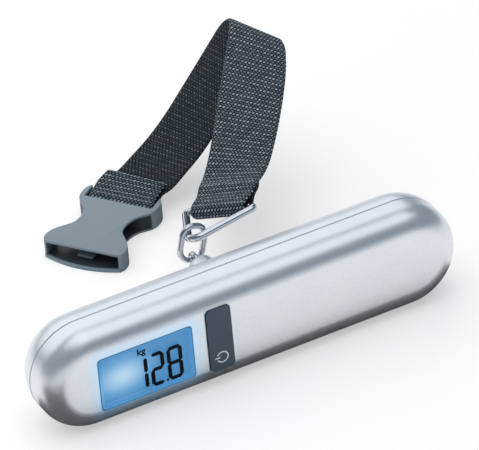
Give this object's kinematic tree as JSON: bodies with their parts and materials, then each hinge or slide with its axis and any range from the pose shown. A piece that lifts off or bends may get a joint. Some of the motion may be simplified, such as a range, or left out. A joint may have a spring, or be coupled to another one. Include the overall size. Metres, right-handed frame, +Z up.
{
  "type": "digital luggage scale",
  "caption": "Bar-shaped handheld luggage scale with a lit display, a rocker button, a swivel eye, a link, a delta ring and a webbing strap with a side-release buckle.",
  "frame": {"origin": "centre of the flat band under the body, on the ground", "axes": "+X along the body toward the battery end, -Y the display's face, +Y the hook's side, +Z up"},
  "size_m": [0.16, 0.1322, 0.0566],
  "materials": {
    "body_silver": "satin metallic silver",
    "window": "glossy clear blue",
    "lcd_glass": "glossy",
    "lcd_white": "matt",
    "numeral_ink": "matt",
    "rubber_grey": "matt",
    "board_green": "satin",
    "chip_black": "matt",
    "screw_steel": "brushed",
    "plunger_tan": "satin",
    "button_slate": "satin",
    "mark_white": "matt",
    "cell_aluminium": "machined",
    "gauge_film": "satin",
    "wire_red": "satin",
    "chrome": "polished",
    "tray_black": "matt",
    "battery_wrap": "glossy",
    "contact_steel": "bright",
    "webbing_slate": "woven, matt",
    "thread_grey": "matt",
    "buckle_plastic": "satin"
  },
  "bodies": {
    "scale_body": {"front_shell": "body_silver", "back_shell": "body_silver", "display_window": "window", "lcd_frame": "lcd_white", "lcd_panel": "lcd_glass", "lcd_numerals": "numeral_ink", "light_guide": "lcd_white", "lcd_connector": "rubber_grey", "circuit_board": "board_green", "board_chips": "chip_black", "board_screws": "screw_steel", "switch_bodies": "chip_black", "load_cell": "cell_aluminium", "strain_gauges": "gauge_film", "load_cell_screws": "screw_steel", "gauge_wires": "wire_red", "eye_washer": "screw_steel", "hook_collar": "body_silver", "battery_tray": "tray_black", "battery_upper": "battery_wrap", "battery_lower": "battery_wrap", "battery_contacts": "contact_steel", "battery_wires": "wire_red", "case_screws": "screw_steel"},
    "rocker": {"rocker_button": "button_slate", "button_mark": "mark_white"},
    "upper_plunger": {"plunger_upper": "plunger_tan"},
    "lower_plunger": {"plunger_lower": "plunger_tan"},
    "door": {"battery_door": "body_silver"},
    "swivel": {"eye": "chrome", "eye_nut": "screw_steel"},
    "link": {"chain_link": "chrome"},
    "ring": {"delta_ring": "chrome"},
    "webbing": {"strap": "webbing_slate", "strap_stitching": "thread_grey"},
    "socket": {"buckle_socket": "buckle_plastic"},
    "plug": {"buckle_plug": "buckle_plastic"},
    "left_arm": {"latch_arm_left": "buckle_plastic"},
    "right_arm": {"latch_arm_right": "buckle_plastic"}
  },
  "joints": [
    {"name": "rocker_tilt", "type": "hinge", "parent": "scale_body", "child": "rocker", "pos_m": [-0.0144, -0.00715, 0.0197], "axis": [1, 0, 0], "range_deg": [-1.8, 1.8], "stiffness_Nm_per_rad": 0.02},
    {"name": "upper_press", "type": "slide", "parent": "scale_body", "child": "upper_plunger", "axis": [0, 1, 0], "range_m": [-0.00026, 0.00026]},
    {"name": "lower_press", "type": "slide", "parent": "scale_body", "child": "lower_plunger", "axis": [0, 1, 0], "range_m": [-0.00026, 0.00026]},
    {"name": "door_slide", "type": "slide", "parent": "scale_body", "child": "door", "axis": [1, 0, 0], "range_m": [0, 0.008]},
    {"name": "eye_swivel", "type": "hinge", "parent": "scale_body", "child": "swivel", "pos_m": [0, 0.03125, 0.0192], "axis": [0, 1, 0], "continuous": true},
    {"name": "link_swing", "type": "hinge", "parent": "swivel", "child": "link", "pos_m": [0, 0.03505, 0.0192], "axis": [0.9397, 0, -0.342], "range_deg": [-40, 20]},
    {"name": "ring_swing", "type": "hinge", "parent": "link", "child": "ring", "pos_m": [0.00267, 0.0372, 0.03122], "axis": [0.9397, 0, -0.342], "range_deg": [-25, 15]},
    {"name": "strap_turn", "type": "hinge", "parent": "ring", "child": "webbing", "pos_m": [0.0176, 0.0466, 0.0269], "axis": [0.5355, -0.7792, 0.3256], "range_deg": [-30, 30]},
    {"name": "socket_turn", "type": "hinge", "parent": "webbing", "child": "socket", "pos_m": [0.00441, 0.09904, 0.0036], "axis": [-0.5948, 0.8039, 0], "range_deg": [-20, 20]},
    {"name": "plug_turn", "type": "hinge", "parent": "webbing", "child": "plug", "pos_m": [0.0356, 0.069, 0.024], "axis": [-0.515, 0.4078, -0.754], "range_deg": [-7, 15]},
    {"name": "left_latch", "type": "hinge", "parent": "plug", "child": "left_arm", "pos_m": [0.03523, 0.08024, 0.01653], "axis": [-0.631, 0.415, 0.6554], "range_deg": [-8, 0], "stiffness_Nm_per_rad": 0.02},
    {"name": "right_latch", "type": "hinge", "parent": "plug", "child": "right_arm", "pos_m": [0.04594, 0.07175, 0.03222], "axis": [-0.631, 0.415, 0.6554], "range_deg": [0, 8], "stiffness_Nm_per_rad": 0.02}
  ],
  "couplings": [
    {"joint": "upper_press", "follows": "rocker_tilt", "m_per_rad": -0.008},
    {"joint": "lower_press", "follows": "rocker_tilt", "m_per_rad": 0.008},
    {"joint": "right_latch", "follows": "left_latch", "ratio": -1}
  ]
}
